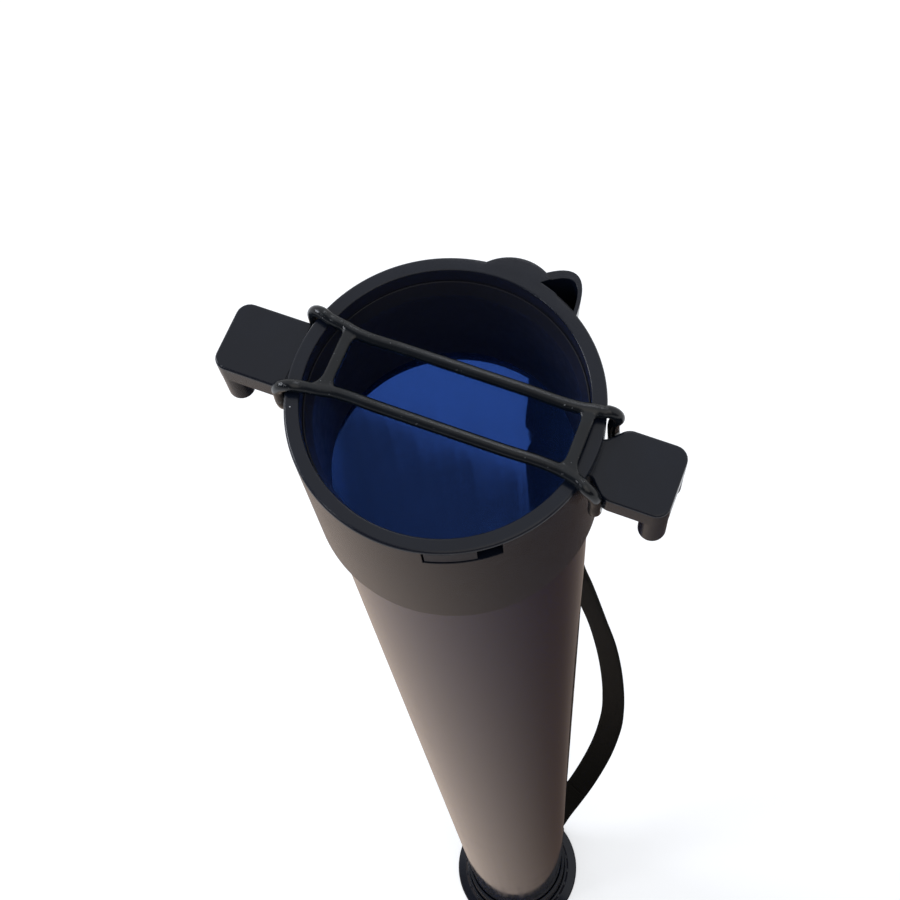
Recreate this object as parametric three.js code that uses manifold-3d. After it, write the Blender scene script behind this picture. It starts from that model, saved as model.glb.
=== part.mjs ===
// Ball pickup tube, standing on its end cap with the mouth up.
// Millimetres, +Z up. The origin is on the floor at the tube's axis, and the ears lie along X.

import * as THREE from 'three';
import { mergeVertices } from 'three/addons/utils/BufferGeometryUtils.js';
import Module from 'manifold-3d';

const wasm = await Module();
wasm.setup();

// Driving dimensions.
const ballDiameter = 67;
const ballsHeld = 15;
const ballClearance = 1.5;
const mouthHeadroom = 21.4;
const seatGap = 0.3;
const overrun = 1;

// Walls, from the bore outwards.
const linerWall = 1.55;
const tubeWall = 1.8;
const skirtWall = 2.55;
const throatRadius = ballDiameter / 2 + ballClearance;
const linerRadius = throatRadius + linerWall;
const tubeInner = linerRadius + seatGap;
const tubeOuter = tubeInner + tubeWall;
const skirtInner = tubeOuter + seatGap;
const skirtOuter = skirtInner + skirtWall;

// Both end fittings have this ring and skirt.
const ringDepth = 12.5;
const skirtDepth = 55.5;
const mouthLead = 0.85;
const mouthRadius = linerRadius + mouthLead;
const rimRound = 0.9;
const lipRound = 0.5;

// Liner sleeve that clips into a fitting.
const linerTop = 5.5;
const linerDepth = 44.7;
const linerEdge = 0.4;
const linerLead = 5;
const linerTaper = 0.35;
const tabAngle = THREE.MathUtils.degToRad(-62.3);
const tabCount = 2;
const windowTop = 0.95;
const windowHeight = 6.9;
const windowWidth = 20.6;
const tabWidth = 13.4;
const tabGap = 0.5;
const tabInset = 0.2;
const barbDepth = 2;

// End cap with its bayonet, and the rubber ring under it.
const footHeight = 1;
const capFloor = 2.6;
const capGap = 0.4;
const capWall = 2.4;
const capHeight = 19;
const capFlange = 8.7;
const flangeHeight = 4;
const flangeSlope = 6;
const capRound = 0.8;
const gripCount = 24;
const gripRadius = 1.7;
const gripHeight = 8.4;
const lugCount = 4;
const lugReach = 2;
const lugHeight = 3.5;
const lugWidth = 5;
const lugDrop = 8.6;
const lugTurn = THREE.MathUtils.degToRad(25);
const slotGap = 0.4;
const slotDepth = lugReach + slotGap - capGap;
const footInset = 1.5;
const footWidth = 5.5;
const footSeat = 1.7;
const drainRadius = 2.6;
const drainCount = 6;
const drainCircleShare = 0.55;

// Ears of the mouth fitting, each with two pegs under its outer corners.
const earReach = 21.45;
const earHalf = 10.2;
const earDrop = 4.3;
const earHeight = 7.2;
const earPlate = 2.4;
const earWallThickness = 1.8;
const earCorner = 3.8;
const neckHalf = 5.3;
const rightNeck = 4.7;
const leftNeck = 2.4;
const pegRadius = 3.7;
const pegDrop = 12;
const pegRound = 0.6;

// Lobe on the ring, and the arched hanger that the strap goes through.
const lobeAngle = THREE.MathUtils.degToRad(81);
const lobeRadius = 13.1;
const lobeProud = 4.2;
const hangerAngle = THREE.MathUtils.degToRad(67.1);
const hangerRise = 8.1;
const barRise = 6.8;
const hangerWall = 2;
const hangerTopHalf = 8.4;
const hangerWaistHalf = 7.4;
const hangerWaist = 18;
const hangerBoreShift = 0.8;
const hangerBarHalf = 14.4;
const hangerTopDrop = 0.5;
const hangerNeck = 36;
const hangerFlare = 9;
const barHeight = 5;
const barWindow = 10;
const archPowerTop = 2;
const archPowerBar = 16;

// Rubber band across the mouth.
const bandRadius = 1.7;
const strandHalf = 8.7;
const bandShift = 1.3;
const legReach = 1.9;
const legHalf = 11.6;
const legTuck = 1;
const crossInset = 4.4;
const crossShift = 2;
const crossWidth = 3.2;
const crossThickness = 2.4;
const crossFillet = 4;
const crossCorner = 1.8;
const bandSides = 8;

// Webbing strap, its free tail and its slider.
const strapWidth = 20;
const strapThickness = 1.5;
const eyeRadius = 3.8;
const eyeGap = 0.7;
const bowReach = 59;
const sliderDrop = 57;
const sliderBar = 3;
const sliderSlot = 7.7;
const sliderThickness = 2;
const sliderSide = 2.4;
const sliderWave = 3.6;
const sliderHalf = 10.7;
const sliderInset = 2.3;
const layerGap = 0.3;
const tailDrop = 213;
const tailSpread = 4.6;
const hemLength = 36;
const hemBendShare = 0.67;
const bowSteps = 48;

// Heights above the floor.
const capFloorTop = footHeight + capFloor;
const baseHeight = capFloorTop + seatGap;
const mouthHeight = capFloorTop + ballsHeld * ballDiameter + mouthHeadroom;

const roundSteps = 48;
const smallSteps = 12;
const arcSteps = 3;
const arcShare = 1 - Math.SQRT1_2;
const bandSteps = 40;
const strandSteps = 4;

const black = { color: 0x15171b, roughness: 0.28, metalness: 0 };
const finishes = {
  tube: { color: 0x1c3470, roughness: 0.12, metalness: 0, transparent: true, opacity: 0.6 },
  moulding: black,
  liner: { color: 0x101218, roughness: 0.32, metalness: 0 },
  rubber: { color: 0x1d2125, roughness: 0.35, metalness: 0 },
  foot: { color: 0x1a1a1a, roughness: 0.85, metalness: 0 },
  webbing: { color: 0x1b1a18, roughness: 0.9, metalness: 0 },
  slider: { color: 0x17181a, roughness: 0.5, metalness: 0 },
};

const part = new THREE.Group();

// A closed three.js geometry as a solid that can be joined and cut.
function solid(geometry) {
  const bare = geometry.clone();
  bare.deleteAttribute('normal');
  bare.deleteAttribute('uv');
  const merged = mergeVertices(bare, 1e-4);
  const triangles = [];
  const index = merged.index.array;
  for (let i = 0; i < index.length; i += 3) {
    const [a, b, c] = [index[i], index[i + 1], index[i + 2]];
    if (a !== b && b !== c && c !== a) triangles.push(a, b, c);
  }
  return new wasm.Manifold(new wasm.Mesh({
    numProp: 3,
    vertProperties: new Float32Array(merged.attributes.position.array),
    triVerts: new Uint32Array(triangles),
  }));
}

function addPiece(name, shape, finish, angle = 0) {
  const { vertProperties, triVerts } = shape.getMesh();
  const geometry = new THREE.BufferGeometry();
  geometry.setAttribute('position', new THREE.BufferAttribute(vertProperties, 3));
  geometry.setIndex(new THREE.BufferAttribute(triVerts, 1));
  geometry.computeVertexNormals();
  const mesh = new THREE.Mesh(geometry, new THREE.MeshStandardMaterial(finishes[finish]));
  mesh.name = name;
  mesh.rotation.z = angle;
  part.add(mesh);
}

// A profile of [radius, height] points turned about the Z axis. It runs up the outside.
function turned(profile, steps = roundSteps) {
  const points = profile.map(([radius, height]) => new THREE.Vector2(radius, height));
  const onAxis = profile[0][0] === 0 && profile.at(-1)[0] === 0;
  if (!onAxis) points.push(points[0].clone());
  const geometry = new THREE.LatheGeometry(points, steps);
  geometry.rotateX(Math.PI / 2);
  return solid(geometry);
}

// A flat outline pulled up from one height to another.
function raised(shape, low, high, steps = smallSteps) {
  const geometry = new THREE.ExtrudeGeometry(shape, {
    depth: high - low,
    bevelEnabled: false,
    curveSegments: steps,
  });
  geometry.translate(0, 0, low);
  return geometry;
}

function disc(radius, x = 0, y = 0) {
  const shape = new THREE.Shape();
  shape.absarc(x, y, radius, 0, 2 * Math.PI, false);
  return shape;
}

// Part of a ring between two radii, as wide as an angle on each side of its middle.
function sector(inner, outer, middle, halfAngle) {
  const shape = new THREE.Shape();
  shape.absarc(0, 0, outer, middle - halfAngle, middle + halfAngle, false);
  shape.absarc(0, 0, inner, middle + halfAngle, middle - halfAngle, true);
  shape.closePath();
  return shape;
}

// A block in the radial plane: its side view has radius across and height up, and its width is tangential.
function acrossPlane(shape, halfWidth, steps = smallSteps) {
  const geometry = new THREE.ExtrudeGeometry(shape, {
    depth: 2 * halfWidth,
    bevelEnabled: false,
    curveSegments: steps,
  });
  geometry.translate(0, 0, -halfWidth);
  geometry.rotateX(Math.PI / 2);
  return geometry;
}

function rectangle(left, bottom, right, top) {
  const shape = new THREE.Shape();
  shape.moveTo(left, bottom);
  shape.lineTo(right, bottom);
  shape.lineTo(right, top);
  shape.lineTo(left, top);
  shape.closePath();
  return shape;
}

function around(count, first, make) {
  return Array.from({ length: count }, (_, i) => make(first + (i * 2 * Math.PI) / count));
}

// The ring and skirt of a fitting, with its ring face at height zero and the skirt below it.
function fittingShell() {
  return turned([
    [skirtOuter, -skirtDepth],
    [skirtOuter, -rimRound],
    [skirtOuter - rimRound * arcShare, -rimRound * arcShare],
    [skirtOuter - rimRound, 0],
    [mouthRadius + lipRound, 0],
    [mouthRadius, -lipRound],
    [mouthRadius, -ringDepth],
    [skirtInner, -ringDepth],
    [skirtInner, -skirtDepth],
  ]);
}

// The windows that the liner's tabs click into. Above the liner they're pockets in the ring's outside.
function tabWindows() {
  const half = windowWidth / 2 / skirtOuter;
  const low = -windowTop - windowHeight;
  return around(tabCount, tabAngle, (angle) => {
    const through = sector(mouthRadius - overrun, skirtOuter + overrun, angle, half);
    const pocket = sector(skirtOuter - barbDepth, skirtOuter + overrun, angle, half);
    return solid(raised(through, low, -linerTop - seatGap, arcSteps))
      .add(solid(raised(pocket, low, -windowTop, arcSteps)));
  });
}

// Sleeve with a funnelled top, and a tab on each side that stands at one end of the fitting's window.
function linerSleeve() {
  const collar = mouthRadius - seatGap;
  const sleeve = turned([
    [linerRadius, -linerDepth],
    [linerRadius, -ringDepth],
    [collar, -ringDepth],
    [collar, -linerTop],
    [collar - linerEdge, -linerTop],
    [throatRadius + linerTaper, -linerTop - linerLead],
    [throatRadius, -linerDepth],
  ]);
  const tabHalf = tabWidth / 2 / skirtOuter;
  const tabLow = -windowTop - windowHeight + tabGap;
  const tabShift = (windowWidth / 2 - tabGap - tabWidth / 2) / skirtOuter;
  const tabs = around(tabCount, tabAngle - tabShift, (angle) => {
    const root = sector(collar - linerEdge, skirtOuter - tabInset, angle, tabHalf);
    const barb = sector(skirtOuter - barbDepth + seatGap, skirtOuter - tabInset, angle, tabHalf);
    return solid(raised(root, tabLow, -linerTop - 2 * seatGap, arcSteps))
      .add(solid(raised(barb, tabLow, -windowTop - tabGap, arcSteps)));
  });
  return tabs.reduce((whole, tab) => whole.add(tab), sleeve);
}

// The hanger's arch seen from above, as [radial, tangential] points from one foot to the other.
function arch(half, rise, power) {
  const points = [];
  for (let i = 0; i <= smallSteps; i += 1) {
    const across = Math.sin((i / smallSteps - 1 / 2) * Math.PI);
    points.push([rise * (1 - Math.abs(across) ** power), half * across]);
  }
  return points;
}

// A solid through arches at several depths. Its flat back lies inside the skirt's wall.
function archLoft(levels, inset, shift) {
  const back = skirtInner + skirtWall / 2;
  const rows = levels.map(({ depth, half, power, out }) => {
    const rise = skirtOuter + out - inset - back;
    return arch(half - inset, rise, power).map(([n, t]) => [back + n, t - shift, -depth]);
  });
  const count = rows[0].length;
  const positions = rows.flat(2);
  const faces = [];
  for (let row = 0; row + 1 < rows.length; row += 1) {
    for (let i = 0; i < count; i += 1) {
      const a = row * count + i;
      const b = row * count + ((i + 1) % count);
      faces.push(a, a + count, b, b, a + count, b + count);
    }
  }
  const last = (rows.length - 1) * count;
  for (let i = 1; i + 1 < count; i += 1) {
    faces.push(0, i, i + 1);
    faces.push(last, last + i + 1, last + i);
  }
  const geometry = new THREE.BufferGeometry();
  geometry.setAttribute('position', new THREE.Float32BufferAttribute(positions, 3));
  geometry.setIndex(faces);
  return solid(geometry).rotate([0, 0, THREE.MathUtils.radToDeg(hangerAngle)]);
}

// The hanger narrows a little from its top, and then flares to the bar's width.
function hangerLevels(topDepth) {
  const flare = [0, 1 / 3, 2 / 3, 1].map((share) => hangerNeck + share * hangerFlare);
  const depths = [topDepth, Math.max(topDepth + seatGap, hangerWaist), ...flare, skirtDepth];
  return depths.map((depth) => {
    const waisted = THREE.MathUtils.clamp(depth / hangerWaist, 0, 1);
    const flared = THREE.MathUtils.clamp((depth - hangerNeck) / hangerFlare, 0, 1);
    const waistedHalf = THREE.MathUtils.lerp(hangerTopHalf, hangerWaistHalf, waisted);
    return {
      depth,
      half: THREE.MathUtils.lerp(waistedHalf, hangerBarHalf, flared),
      power: THREE.MathUtils.lerp(archPowerTop, archPowerBar, flared),
      out: THREE.MathUtils.lerp(hangerRise, barRise, waisted),
    };
  });
}

function hangerBore(topDepth) {
  const levels = hangerLevels(topDepth);
  levels[0].depth -= overrun;
  levels.at(-1).depth += overrun;
  return archLoft(levels, hangerWall, hangerBoreShift);
}

// Arched hanger, open at both ends, with a window above the bar that the webbing goes round.
function hanger(topDepth) {
  const windowLow = -skirtDepth + barHeight;
  const window = rectangle(
    skirtOuter + barRise - 2 * hangerWall,
    windowLow,
    skirtOuter + barRise + overrun,
    windowLow + barWindow,
  );
  const cut = acrossPlane(window, hangerBarHalf - hangerWall);
  cut.rotateZ(hangerAngle);
  return archLoft(hangerLevels(topDepth), 0, 0)
    .subtract(hangerBore(topDepth))
    .subtract(solid(cut));
}

// Ear seen from above. Its neck is narrower than its plate, which leaves a notch for the band on each side.
function earOutline(neckReach) {
  const root = skirtOuter - skirtWall / 2;
  const shoulder = skirtOuter + neckReach;
  const end = skirtOuter + earReach;
  const shape = new THREE.Shape();
  shape.moveTo(root, -neckHalf);
  shape.lineTo(skirtOuter, -neckHalf);
  shape.lineTo(shoulder, -earHalf);
  shape.lineTo(end - earCorner, -earHalf);
  shape.absarc(end - earCorner, -earHalf + earCorner, earCorner, -Math.PI / 2, 0, false);
  shape.absarc(end - earCorner, earHalf - earCorner, earCorner, 0, Math.PI / 2, false);
  shape.lineTo(shoulder, earHalf);
  shape.lineTo(skirtOuter, neckHalf);
  shape.lineTo(root, neckHalf);
  shape.closePath();
  return shape;
}

// Ear as a plate with side walls, hollow from below, and a round peg under each outer corner.
function ear(angle, neckReach) {
  const end = skirtOuter + earReach;
  const low = -earDrop - earHeight;
  const block = raised(earOutline(neckReach), low, -earDrop);
  const pocket = raised(
    rectangle(
      skirtOuter + neckReach,
      -earHalf + earWallThickness,
      end - earWallThickness,
      earHalf - earWallThickness,
    ),
    low - overrun,
    -earDrop - earPlate,
  );
  const peg = turned([
    [0, low - pegDrop],
    [pegRadius - pegRound, low - pegDrop],
    [pegRadius, low - pegDrop + pegRound],
    [pegRadius, -earDrop - earPlate / 2],
    [0, -earDrop - earPlate / 2],
  ], 2 * smallSteps);
  const [pegX, pegY] = [end - earCorner, earHalf - earCorner];
  const hollow = solid(block).subtract(solid(pocket));
  return [-pegY, pegY]
    .reduce((whole, y) => whole.add(peg.translate([pegX, y, 0])), hollow)
    .rotate([0, 0, THREE.MathUtils.radToDeg(angle)]);
}

function lobe() {
  const centre = skirtOuter + lobeProud - lobeRadius;
  return solid(raised(
    disc(lobeRadius, centre * Math.cos(lobeAngle), centre * Math.sin(lobeAngle)),
    -ringDepth,
    0,
    2 * smallSteps,
  ));
}

function mouthFitting() {
  const bore = solid(raised(disc(mouthRadius), -ringDepth - overrun, overrun, roundSteps / 2));
  const ears = [ear(0, rightNeck), ear(Math.PI, leftNeck)];
  const added = [lobe().subtract(hangerBore(hangerTopDrop)), fittingShell(), ...ears];
  const solidRing = added.reduce((whole, piece) => whole.add(piece));
  const open = [bore, ...tabWindows()].reduce((whole, cut) => whole.subtract(cut), solidRing);
  return open.add(hanger(hangerTopDrop));
}

// The L-shaped channels that the cap's lugs turn in, for a fitting with its ring face down.
function bayonetSlots() {
  const bottom = baseHeight;
  const floor = skirtOuter - slotDepth;
  const lugHalf = lugWidth / 2 / skirtOuter;
  const gapAngle = slotGap / skirtOuter;
  const top = bottom + lugDrop + lugHeight / 2 + slotGap;
  const low = bottom + lugDrop - lugHeight / 2 - slotGap;
  return around(lugCount, 0, (angle) => {
    const entry = sector(floor, skirtOuter + overrun, angle - lugTurn, lugHalf + gapAngle);
    const track = sector(
      floor,
      skirtOuter + overrun,
      angle - lugTurn / 2,
      lugTurn / 2 + lugHalf + gapAngle,
    );
    return solid(raised(entry, bottom - overrun, top, arcSteps)).add(solid(raised(track, low, top, arcSteps)));
  });
}

// Turns a shape that hangs from height zero upside down and stands it on a height, at the same angles.
function standing(shape, height) {
  return shape.mirror([0, 0, 1]).translate([0, 0, height]);
}

function baseFitting() {
  const lowestHanger = capHeight + footHeight + 2 * overrun - baseHeight;
  const ring = tabWindows().reduce((whole, cut) => whole.subtract(cut), fittingShell());
  const whole = standing(ring.add(hanger(lowestHanger)), baseHeight);
  return bayonetSlots().reduce((rest, cut) => rest.subtract(cut), whole);
}

function endCap() {
  const inner = skirtOuter + capGap;
  const outer = inner + capWall;
  const flange = outer + capFlange;
  const top = footHeight + capHeight;
  const flangeTop = footHeight + flangeHeight;
  const cup = turned([
    [0, footHeight],
    [flange - capRound, footHeight],
    [flange, footHeight + capRound],
    [flange, flangeTop],
    [outer + gripRadius / 2, flangeTop + flangeSlope],
    [outer, flangeTop + flangeSlope + gripRadius / 2],
    [outer, top - capRound],
    [outer - capRound, top],
    [inner + capRound, top],
    [inner, top - capRound],
    [inner, capFloorTop],
    [0, capFloorTop],
  ]);
  const groove = turned([
    [flange - footInset + seatGap, footHeight - overrun],
    [flange - footInset + seatGap, footHeight + footSeat + seatGap],
    [flange - footInset - footWidth - seatGap, footHeight + footSeat + seatGap],
    [flange - footInset - footWidth - seatGap, footHeight - overrun],
  ]);
  const gripTop = top - capRound;
  const grips = around(gripCount, 0, (angle) =>
    solid(raised(disc(gripRadius, outer * Math.cos(angle), outer * Math.sin(angle)),
      gripTop - gripHeight, gripTop, arcSteps)));
  const middle = baseHeight + lugDrop;
  const lugs = around(lugCount, 0, (angle) =>
    solid(raised(
      sector(skirtOuter - slotDepth + slotGap, inner + capWall / 2, angle, lugWidth / 2 / skirtOuter),
      middle - lugHeight / 2,
      middle + lugHeight / 2,
      arcSteps,
    )));
  const circle = throatRadius * drainCircleShare;
  const drains = around(drainCount, 0, (angle) =>
    disc(drainRadius, circle * Math.cos(angle), circle * Math.sin(angle)));
  const holes = [disc(drainRadius), ...drains].map((shape) =>
    solid(raised(shape, footHeight - overrun, capFloorTop + overrun, smallSteps / 2)));
  const inside = turned([
    [inner, footHeight + capFloor],
    [inner, top + overrun],
    [0, top + overrun],
    [0, footHeight + capFloor],
  ].reverse());
  const rough = grips.reduce((whole, grip) => whole.add(grip), cup).subtract(groove).subtract(inside);
  const bored = holes.reduce((whole, hole) => whole.subtract(hole), rough);
  return lugs.reduce((whole, lug) => whole.add(lug), bored);
}

function footRing() {
  const outer = skirtOuter + capGap + capWall + capFlange - footInset;
  return turned([
    [outer, 0],
    [outer, footHeight + footSeat],
    [outer - footWidth, footHeight + footSeat],
    [outer - footWidth, 0],
  ]);
}

function mainTube() {
  const low = baseHeight + ringDepth + seatGap;
  const high = mouthHeight - ringDepth - seatGap;
  return turned([
    [tubeOuter, low],
    [tubeOuter, high],
    [tubeInner, high],
    [tubeInner, low],
  ]);
}

// Round rubber bar along a smooth curve through points.
function rubberBar(points, steps) {
  const curve = new THREE.CatmullRomCurve3(points.map((p) => new THREE.Vector3(...p)));
  const section = new THREE.Shape();
  for (let i = 0; i < bandSides; i += 1) {
    const angle = (i * 2 * Math.PI) / bandSides;
    const [x, y] = [bandRadius * Math.cos(angle), bandRadius * Math.sin(angle)];
    if (i === 0) section.moveTo(x, y);
    else section.lineTo(x, y);
  }
  section.closePath();
  return solid(new THREE.ExtrudeGeometry(section, { steps, bevelEnabled: false, extrudePath: curve }));
}

// Cross bar seen from above. Fillets run into the strands inwards, and into the loop's arms outwards.
function crossBar(middle, level, outerFillets) {
  const inner = middle - crossWidth / 2;
  const outer = middle + crossWidth / 2;
  const inwards = strandHalf - crossFillet;
  const arm = (strandHalf + legHalf) / 2;
  const [right, left] = outerFillets;
  const shape = new THREE.Shape();
  shape.moveTo(outer, -strandHalf + right);
  shape.lineTo(outer, strandHalf - left);
  shape.quadraticCurveTo(outer, strandHalf - bandRadius / 2, outer + left, arm);
  shape.lineTo(inner - crossFillet, strandHalf);
  shape.quadraticCurveTo(inner, strandHalf - bandRadius / 2, inner, inwards);
  shape.lineTo(inner, -inwards);
  shape.quadraticCurveTo(inner, -strandHalf + bandRadius / 2, inner - crossFillet, -strandHalf);
  shape.lineTo(outer + right, -arm);
  shape.quadraticCurveTo(outer, -strandHalf + bandRadius / 2, outer, -strandHalf + right);
  shape.closePath();
  return raised(shape, level - crossThickness / 2, level + crossThickness / 2);
}

// One side of an end loop, from the strand out over the rim, down beside the ear's neck and under it.
function loopArm(cross, leg, half) {
  const level = mouthHeight + seatGap + bandRadius;
  const rim = leg - legReach - rimRound;
  const under = mouthHeight - earDrop - earHeight - seatGap - bandRadius;
  const bight = skirtOuter + seatGap + bandRadius;
  return [
    [cross - crossWidth - crossFillet, strandHalf, level],
    [cross - crossWidth, strandHalf, level],
    [cross + crossWidth / 2, strandHalf + bandRadius / 2, level],
    [(cross + rim) / 2 + bandRadius / 2, (strandHalf + half) / 2, level],
    [rim, half - bandRadius / 4, level],
    [leg - bandRadius / 4, half, mouthHeight - seatGap],
    [leg, half, mouthHeight - earDrop],
    [leg, half, under + 2 * bandRadius + seatGap],
    [leg, half - bandRadius / 3, under + bandRadius],
    [leg, half - bandRadius, under],
    [bight, neckHalf, under],
    [bight, neckHalf / 2, under],
  ];
}

// The band lies on the ring face a little off the middle. Its arm at +X and +Y is drawn in to the neck.
function retainingBand() {
  const level = mouthHeight + seatGap + bandRadius;
  const reach = mouthRadius - crossInset;
  const leg = skirtOuter + legReach;
  const end = (cross, left, right, outerFillets) => {
    const mirrored = right.map(([x, y, z]) => [x, -y, z]).reverse();
    return rubberBar([...left, ...mirrored], bandSteps).add(solid(crossBar(cross, level, outerFillets)));
  };
  const front = reach + bandShift + crossShift;
  const back = reach - bandShift - crossShift;
  const frontEnd = end(
    front,
    loopArm(front, leg, legHalf - legTuck),
    loopArm(front, leg + bandShift, legHalf),
    [crossFillet, crossCorner],
  );
  const backArm = loopArm(back, leg - bandShift, legHalf);
  const backEnd = end(back, backArm, backArm, [crossCorner, crossFillet]);
  const strands = [strandHalf, -strandHalf].map((y) => rubberBar(
    [[-back + crossWidth, y, level], [0, y, level], [front - crossWidth, y, level]],
    strandSteps,
  ));
  return strands.reduce((whole, strand) => whole.add(strand), frontEnd.add(backEnd.rotate([0, 0, 180])));
}

// Webbing seen from the side: a band of even thickness along [radius, height] points.
function webbing(route, halfWidth) {
  const offset = (sign) => route.map(([n, z], i) => {
    const [n0, z0] = route[Math.max(i - 1, 0)];
    const [n1, z1] = route[Math.min(i + 1, route.length - 1)];
    const length = Math.hypot(n1 - n0, z1 - z0);
    const reach = (sign * strapThickness) / 2 / length;
    return [n + (z1 - z0) * reach, z - (n1 - n0) * reach];
  });
  const outline = [...offset(1), ...offset(-1).reverse()];
  const shape = new THREE.Shape(outline.map(([n, z]) => new THREE.Vector2(n, z)));
  return solid(acrossPlane(shape, halfWidth));
}

function smooth(points, count) {
  const curve = new THREE.CatmullRomCurve3(points.map(([n, z]) => new THREE.Vector3(n, z, 0)));
  return curve.getPoints(count).map(({ x, y }) => [x, y]);
}

// Where the strap turns round a hanger's bar, from its top to straight down beside the bar.
function eyeQuarter(centre, height, side, up) {
  const points = [];
  for (let i = 0; i <= smallSteps / 2; i += 1) {
    const angle = (i / smallSteps) * Math.PI;
    points.push([
      centre + side * eyeRadius * Math.sin(angle),
      height + up * eyeRadius * Math.cos(angle),
    ]);
  }
  return points;
}

const barMiddle = skirtOuter + barRise - hangerWall / 2;
const eyeTop = mouthHeight - skirtDepth + barHeight + eyeGap + strapThickness / 2 - eyeRadius;
const eyeBottom = baseHeight + skirtDepth - barHeight - eyeGap - strapThickness / 2 + eyeRadius;
const sliderHeight = eyeTop - sliderDrop;
const sliderPlane = barMiddle - sliderInset;
const layerOffset = (strapThickness + layerGap) / 2;

// Both layers of the strap cross over the slider's middle bar together.
function sliderCrossing(offset) {
  const points = [];
  const steps = 2 * smallSteps;
  for (let i = 0; i <= steps; i += 1) {
    const share = 1 - (2 * i) / steps;
    const slope = ((sliderWave * Math.PI) / sliderHalf) * Math.sin(share * Math.PI);
    const length = Math.hypot(1, slope);
    points.push([
      sliderPlane + sliderWave * Math.cos(share * Math.PI) + offset / length,
      sliderHeight + share * sliderHalf + (offset * slope) / length,
    ]);
  }
  return points;
}

// Free stretch between the slider and the lower hanger, as shares of its height and of the bow's reach.
const bowShares = [
  [0.954, -0.14],
  [0.907, -0.095],
  [0.868, -0.02],
  [0.83, 0.07],
  [0.784, 0.17],
  [0.716, 0.32],
  [0.635, 0.49],
  [0.556, 0.66],
  [0.438, 0.83],
  [0.344, 0.94],
  [0.25, 1],
  [0.168, 0.955],
  [0.104, 0.8],
  [0.057, 0.56],
  [0.027, 0.29],
];

// Down from the upper eye, over the slider, out in the bow and round the lower bar.
function mainRoute() {
  const outside = barMiddle + eyeRadius;
  const crossing = sliderCrossing(layerOffset);
  const start = crossing.at(-1);
  const height = start[1] - eyeBottom;
  const bow = bowShares.map(([share, reach]) => [outside + reach * bowReach, eyeBottom + share * height]);
  const upper = smooth([
    [outside, eyeTop],
    [outside, eyeTop - eyeRadius],
    [(outside + crossing[0][0]) / 2, (eyeTop + crossing[0][1]) / 2],
    crossing[0],
  ], smallSteps / 2);
  const landing = [[outside, eyeBottom + 2 * eyeRadius], [outside, eyeBottom]];
  return [
    ...eyeQuarter(barMiddle, eyeTop, 1, 1),
    ...upper.slice(1),
    ...crossing.slice(1),
    ...smooth([start, ...bow, ...landing], bowSteps).slice(1),
    ...eyeQuarter(barMiddle, eyeBottom, 1, -1).reverse().slice(1),
    ...eyeQuarter(barMiddle, eyeBottom, -1, -1).slice(1),
  ];
}

// A place on the tube's side of the strap, at a height on its way down and a distance from it.
function besideStrap(main, height, distance) {
  const i = main.findIndex(([, z], k) => k > 2 * smallSteps && z <= height);
  const [n0, z0] = main[i - 1];
  const [n1, z1] = main[i];
  const share = (z0 - height) / (z0 - z1);
  const reach = distance / Math.hypot(n1 - n0, z1 - z0);
  return [n0 + share * (n1 - n0) + (z1 - z0) * reach, height - (n1 - n0) * reach];
}

// The sewn end goes back up beside the strap.
function hemRoute(main) {
  const inside = barMiddle - eyeRadius;
  const apart = strapThickness + layerGap;
  return smooth([
    [inside, eyeBottom],
    [inside, eyeBottom + 2 * eyeRadius],
    besideStrap(main, eyeBottom + hemLength * hemBendShare, apart),
    besideStrap(main, eyeBottom + hemLength, apart),
  ], smallSteps / 2);
}

// Free end: down from the upper eye, through the slider, and hanging inside the strap.
function tailRoute(main) {
  const inside = barMiddle - eyeRadius;
  const crossing = sliderCrossing(-layerOffset);
  const upper = smooth([
    [inside, eyeTop],
    [inside, eyeTop - 2 * eyeRadius],
    [(inside + crossing[0][0]) / 2, (eyeTop + crossing[0][1]) / 2],
    crossing[0],
  ], smallSteps / 2);
  const hanging = (share) => {
    const height = THREE.MathUtils.lerp(crossing.at(-1)[1], eyeTop - tailDrop, share);
    return besideStrap(main, height, 2 * layerOffset + share * share * tailSpread);
  };
  const free = smooth([crossing.at(-1), hanging(1 / 3), hanging(2 / 3), hanging(1)], smallSteps);
  return [
    ...eyeQuarter(barMiddle, eyeTop, -1, 1),
    ...upper.slice(1),
    ...crossing.slice(1),
    ...free.slice(1),
  ];
}

// Flat frame with two slots and a middle bar.
function slider() {
  const halfWidth = strapWidth / 2 + seatGap + sliderSide;
  const reach = sliderBar / 2 + sliderSlot + sliderBar;
  const outline = new THREE.Shape();
  const corner = sliderSide;
  outline.absarc(halfWidth - corner, reach - corner, corner, 0, Math.PI / 2, false);
  outline.absarc(-halfWidth + corner, reach - corner, corner, Math.PI / 2, Math.PI, false);
  outline.absarc(-halfWidth + corner, -reach + corner, corner, Math.PI, Math.PI * 1.5, false);
  outline.absarc(halfWidth - corner, -reach + corner, corner, Math.PI * 1.5, Math.PI * 2, false);
  outline.closePath();
  const inside = strapWidth / 2 + seatGap;
  const holes = [1, -1].map((side) => {
    const near = (side * sliderBar) / 2;
    const far = side * (sliderBar / 2 + sliderSlot);
    return rectangle(-inside, Math.min(near, far), inside, Math.max(near, far));
  });
  const frame = (shape, extra) => {
    const geometry = raised(shape, -sliderThickness / 2 - extra, sliderThickness / 2 + extra, smallSteps / 2);
    geometry.rotateX(Math.PI / 2);
    geometry.rotateZ(Math.PI / 2);
    geometry.translate(sliderPlane, 0, sliderHeight);
    return solid(geometry);
  };
  return holes.reduce((whole, hole) => whole.subtract(frame(hole, overrun)), frame(outline, 0));
}

const main = mainRoute();
const strap = [...tailRoute(main).reverse(), ...main.slice(1), ...hemRoute(main).slice(1)];

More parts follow.
